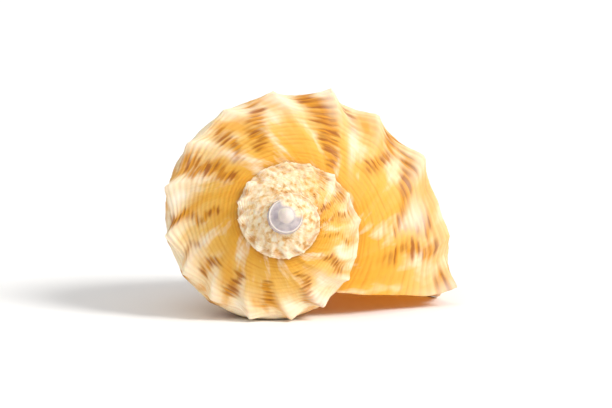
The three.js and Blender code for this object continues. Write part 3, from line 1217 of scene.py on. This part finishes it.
@dataclass(frozen=True)
class Markings:
    """Where the outside has brown flames, pale blotches and painted shade, by growth stage and station."""

    shell: Shell
    # stage at the shoulder, degrees of sweep for each station, from and to station, width, strength
    flames: tuple[tuple[float, float, float, float, float, float], ...] = (
        (-2, 1.0, 4.4, 6.0, 5.0, 0.9),
        (-13, 2.0, 1.6, 3.2, 5.0, 0.75),
        (-14, 4.0, 3.0, 4.4, 3.5, 0.8),
        (-24, 4.0, 2.8, 4.4, 3.5, 0.85),
        (-52, -7.0, 2.3, 4.6, 4.5, 0.8),
        (-56, 3.0, 2.2, 5.4, 4.0, 0.75),
        (-76, 2.0, 3.4, 5.2, 3.5, 0.6),
        (-94, 0.0, 0.9, 5.2, 5.5, 0.95),
        (-117, 8.0, 1.6, 4.9, 5.0, 0.9),
        (-140, 6.0, 1.9, 4.4, 5.0, 0.85),
        (-163, 4.0, 1.2, 5.0, 6.5, 0.9),
        (-193, 5.0, 1.6, 5.2, 4.5, 0.8),
        (-214, 4.0, 3.0, 4.8, 3.5, 0.5),
        (-229, 4.0, 2.6, 4.4, 4.5, 0.75),
        (-248, 5.0, 2.3, 4.4, 5.0, 0.8),
        (-276, 4.0, 2.3, 4.4, 5.0, 0.8),
        (-306, 4.0, 1.8, 4.8, 5.0, 0.8),
        (-339, 4.0, 1.8, 4.4, 5.0, 0.7),
        (-364, 4.0, 1.0, 4.6, 4.0, 0.55),
        (-386, 4.0, 0.6, 4.4, 4.5, 0.65),
        (-404, 4.0, 0.6, 4.6, 4.5, 0.65),
        (-425, 4.0, 1.0, 4.8, 4.0, 0.6),
    )
    # stage and station of the middle, half lengths in degrees and stations, strength
    blotches: tuple[tuple[float, float, float, float, float], ...] = (
        (-32, 3.6, 7.0, 1.0, 0.8),
        (-78, 3.0, 4.0, 1.4, 0.8),
        (-108, 4.5, 7.0, 0.8, 0.85),
        (-130, 4.6, 5.0, 0.6, 0.6),
        (-160, 2.6, 4.0, 0.8, 0.7),
        (-184, 4.4, 5.5, 0.9, 0.95),
        (-222, 4.2, 6.0, 1.0, 0.6),
        (-262, 4.3, 6.0, 0.7, 0.6),
        (-294, 4.4, 7.0, 0.8, 0.7),
        (-328, 3.6, 8.0, 1.2, 0.8),
        (-356, 3.6, 6.0, 1.0, 0.8),
    )
    flame_spread: float = 1.25
    # stations over which a flame fades in at its first station, and out at its last
    flame_begins: tuple[float, float] = (-0.5, 0.4)
    flame_ends: tuple[float, float] = (-0.3, 0.5)
    flame_cover: float = 0.92
    flame_edge: tuple[float, float] = (0.16, 0.74)
    streak_edge: tuple[float, float] = (0.12, 0.42)
    raggedness: float = 0.9
    blotch_spread: tuple[float, float] = (0.75, 0.85)
    body_from: tuple[float, float] = (5.2, 6.5)
    body_until: tuple[float, float] = (12.5, 14.0)
    edge_swing: float = 5.0
    body_streaks: float = 0.85
    body_paleness: float = 0.5
    rim_station: float = 4.7
    # strength of the painted shade in the gaps between the early rim's spines
    rim_gap_shade: float = 0.45
    rib_paleness: float = 0.55
    early_brown: float = 0.35
    early_whorls: tuple[float, float] = (-400.0, -340.0)
    grainy_whorls: tuple[float, float] = (-490.0, -395.0)
    edge_wander: Wander = Wander(0.05, 0.9, 21.0)
    streak_wander: Wander = Wander(0.055, 0.18, 31.0)
    ragged_wander: Wander = Wander(0.14, 3.6, 41.0)
    body_pale_wander: Wander = Wander(0.07, 0.4, 51.0)
    grain_wander: Wander = Wander(0.2, 1.0, 61.0)
    cord_pale_wander: Wander = Wander(0.1, 2.0, 71.0)
    early_brown_wander: Wander = Wander(0.12, 0.9, 81.0)

    def brown(self, at: Places) -> np.ndarray:
        """Draws the flames, broken into dashes by the cords, and painted shade between the rim's spines.

        Args:
            at: Where each vertex lies.

        Returns:
            How brown each vertex is.
        """
        brown = np.zeros_like(at.growth)
        for stage, sweep, start, end, width, strength in self.flames:
            middle = stage + sweep * (at.station - self.shell.coil.shoulder)
            begins = [start + past for past in self.flame_begins]
            ends = [end + past for past in self.flame_ends]
            inside = smoothstep(at.station, *begins) * (1.0 - smoothstep(at.station, *ends))
            near = bump(at.drawn_growth - middle, self.flame_spread * width)
            brown = np.maximum(brown, strength * inside * near)
        streaks = smoothstep(self.streak_wander.at(at.growth, at.station), *self.streak_edge)
        brown = np.maximum(brown, self.body_streaks * at.on_body * streaks)
        ragged = 1.0 + self.raggedness * self.ragged_wander.at(at.growth, at.station)
        in_grooves = 0.66 + 0.34 * (0.5 - 0.5 * at.cord)
        brown = self.flame_cover * smoothstep(brown * in_grooves * ragged, *self.flame_edge)
        early = 1.0 - smoothstep(at.growth, *self.early_whorls)
        # painted shade in the gaps between the early rim's spines, where the keel is low
        rim = bump(at.station - self.rim_station, 0.7) * (1.0 - smoothstep(at.keel, 0.4, 2.2))
        brown = np.maximum(brown, self.rim_gap_shade * early * rim)
        patches = smoothstep(self.early_brown_wander.at(at.growth, at.station), 0.15, 0.5)
        return np.maximum(brown, self.early_brown * early * patches)

    def pale(self, at: Places) -> np.ndarray:
        """Draws the pale blotches and ribs of the sculptured whorls.

        Args:
            at: Where each vertex lies.

        Returns:
            How pale each vertex is.
        """
        pale = np.zeros_like(at.growth)
        along_spread, across_spread = self.blotch_spread
        for stage, middle, half_stages, half_stations, strength in self.blotches:
            near = bump(at.drawn_growth - stage, along_spread * half_stages)
            near = near * bump(at.station - middle, across_spread * half_stations)
            pale = np.maximum(pale, strength * near)
        patches = smoothstep(self.body_pale_wander.at(at.growth, at.station), 0.2, 0.5)
        pale = np.maximum(pale, self.body_paleness * at.on_body * patches)
        ribs = smoothstep(at.keel, 1.2, 3.6) * bump(at.station - self.rim_station, 0.9)
        pale = np.maximum(pale, self.rib_paleness * ribs)
        on_cords = 0.75 - 0.5 * at.cord * self.cord_pale_wander.at(at.growth, at.station)
        return pale * np.clip(on_cords, 0.0, 1.0)

    def paint(self, mesh: bpy.types.Mesh) -> None:
        """Works out every mark from the mesh's UV map and stores it as point attributes.

        Args:
            mesh: The shell's finished mesh.
        """
        growth, station = self.read_places(mesh)
        coil, sculpture, larval = self.shell.coil, self.shell.sculpture, self.shell.larval
        on_body = smoothstep(station, *self.body_from) * (1.0 - smoothstep(station, *self.body_until))
        drawn_growth = growth + self.edge_swing * self.edge_wander.at(growth, station)
        cord = sculpture.cord(station)
        at = Places(growth, station, drawn_growth, cord, sculpture.keel(growth), on_body)
        on_larval = 1.0 - smoothstep(growth, coil.first_stage - 100.0, coil.first_stage - 50.0)
        glassy = on_larval * (1.0 - larval.covered(growth, station))
        uneven = 0.8 + 0.4 * self.grain_wander.at(growth, station)
        granular = (1.0 - smoothstep(growth, *self.grainy_whorls)) * uneven
        marks = {
            "brown": self.brown(at),
            "pale": self.pale(at) * (1.0 - on_larval) + glassy * larval.paleness(station),
            "granular": np.clip(granular, 0.0, 1.0),
            "glassy": glassy,
            "groove": 0.5 - 0.5 * cord,
            "along": station / coil.stations,
        }
        for name, values in marks.items():
            layer = mesh.attributes.new(name, "FLOAT", "POINT")
            layer.data.foreach_set("value", values.astype(np.float32))

    def read_places(self, mesh: bpy.types.Mesh) -> tuple[np.ndarray, np.ndarray]:
        """Reads growth stage and station of every vertex from the corners of the outside's faces.

        Args:
            mesh: The shell's finished mesh.

        Returns:
            Growth stage and station of each vertex.
        """
        loops = len(mesh.loops)
        uv = np.empty(loops * 2, dtype=np.float32)
        mesh.uv_layers[COIL_MAP].data.foreach_get("uv", uv)
        uv = uv.reshape(-1, 2)
        vertex = np.empty(loops, dtype=np.int32)
        mesh.loops.foreach_get("vertex_index", vertex)
        kinds = np.empty(len(mesh.polygons), dtype=np.int32)
        mesh.polygons.foreach_get("material_index", kinds)
        totals = np.empty(len(mesh.polygons), dtype=np.int32)
        mesh.polygons.foreach_get("loop_total", totals)
        outside = np.repeat(kinds == int(Surface.OUTSIDE), totals)
        growth = np.zeros(len(mesh.vertices))
        station = np.zeros(len(mesh.vertices))
        for chosen in (~outside, outside):
            growth[vertex[chosen]] = uv[chosen, 0] * FULL_TURN
            station[vertex[chosen]] = uv[chosen, 1] * self.shell.coil.stations
        return growth, station


@dataclass(frozen=True)
class SoftLight:
    """One soft light, far enough away to light the whole table evenly."""

    name: str
    towards: tuple[float, float, float]
    # width of the light as the shell sees it, in degrees, and its strength in watts on each square metre
    softness: float
    power: float
    colour: str
    distance: float = 1.5

    def build(self) -> None:
        """Adds the light."""
        data = bpy.data.lights.new(self.name, "SUN")
        data.angle = math.radians(self.softness)
        data.energy = self.power
        data.color = hex_colour(self.colour)[:3]
        lamp = bpy.data.objects.new(self.name, data)
        towards = Vector(self.towards)
        lamp.location = towards.normalized() * self.distance
        lamp.rotation_euler = (-towards).to_track_quat("-Z", "Y").to_euler()
        bpy.context.collection.objects.link(lamp)


@dataclass(frozen=True)
class Studio:
    """The pale table, the soft lights and the camera at the photograph's viewing angle."""

    coil: Coil
    distance: float = 0.45
    elevation: float = 7.5
    focal_pixels: float = 1927.0
    frame_width: int = 612
    shift_pixels: tuple[float, float] = (15.0, 10.6)
    sensor_width: float = 36.0
    nearest: float = 0.01
    table_size: float = 16.0
    table_colour: str = "#FBFBFB"
    table_roughness: float = 0.9
    # strength of the white room at the level of the table and straight above it
    room_light: tuple[float, float] = (0.16, 0.78)
    lights: tuple[SoftLight, ...] = (
        SoftLight("key", (0.72, -0.30, 0.62), 22.0, 2.6, "#FFFDF9"),
        SoftLight("front", (-0.3, -0.6, 0.75), 50.0, 0.4, "#FFFFFF"),
    )

    def camera(self) -> None:
        """Adds the camera that sees the shell as the photograph does, aimed at the tip of the spire."""
        slope = math.radians(self.elevation)
        forward = Vector((0.0, math.cos(slope), -math.sin(slope)))
        data = bpy.data.cameras.new("camera")
        data.sensor_width = self.sensor_width
        data.lens = self.focal_pixels / self.frame_width * data.sensor_width
        data.shift_x = self.shift_pixels[0] / self.frame_width
        data.shift_y = self.shift_pixels[1] / self.frame_width
        data.clip_start = self.nearest
        camera = bpy.data.objects.new("camera", data)
        camera.location = Vector(self.coil.tip) * MM - forward * self.distance
        camera.rotation_euler = forward.to_track_quat("-Z", "Y").to_euler()
        bpy.context.collection.objects.link(camera)
        bpy.context.scene.camera = camera

    def floor(self) -> None:
        """Adds the pale matt table that the shell lies on."""
        bpy.ops.object.select_all(action="DESELECT")
        bpy.ops.mesh.primitive_plane_add(size=self.table_size, location=(0.0, 0.0, 0.0))
        floor = bpy.context.object
        floor.name = "table"
        material, _, shader = new_material("matt_white_table")
        shader.inputs["Base Color"].default_value = hex_colour(self.table_colour)
        shader.inputs["Roughness"].default_value = self.table_roughness
        floor.data.materials.append(material)

    def room(self) -> None:
        """Lights the scene from all round, less from the sides than from above."""
        world = bpy.data.worlds.new("studio")
        world.use_nodes = True
        tree = world.node_tree
        background = tree.nodes["Background"]
        background.inputs["Color"].default_value = (1.0, 1.0, 1.0, 1.0)
        ray = add_node(tree, "ShaderNodeTexCoord").outputs["Generated"]
        height = add_node(tree, "ShaderNodeSeparateXYZ", links={"Vector": ray}).outputs["Z"]
        ends = {"To Min": self.room_light[0], "To Max": self.room_light[1]}
        strength = add_node(tree, "ShaderNodeMapRange", ends, {"Value": height})
        tree.links.new(strength.outputs[0], background.inputs["Strength"])
        bpy.context.scene.world = world

    def build(self) -> None:
        """Sets up the table, lights, background and camera."""
        self.camera()
        self.floor()
        for light in self.lights:
            light.build()
        self.room()
        bpy.context.scene.view_settings.view_transform = "Standard"


def main() -> None:
    """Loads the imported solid, builds the shell round it, and reports each piece."""
    logging.basicConfig(level=logging.INFO, format="%(message)s")
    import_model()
    bpy.ops.object.select_all(action="DESELECT")
    coil = Coil()
    Studio(coil).build()
    shell = Shell(coil)
    piece = shell.build()
    Markings(shell).paint(piece.data)
    shell.dress(piece)
    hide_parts("shell")
    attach(piece, "root")
    LOG.info("shell: %d vertices, %d faces", len(piece.data.vertices), len(piece.data.polygons))


if __name__ == "__main__":
    main()
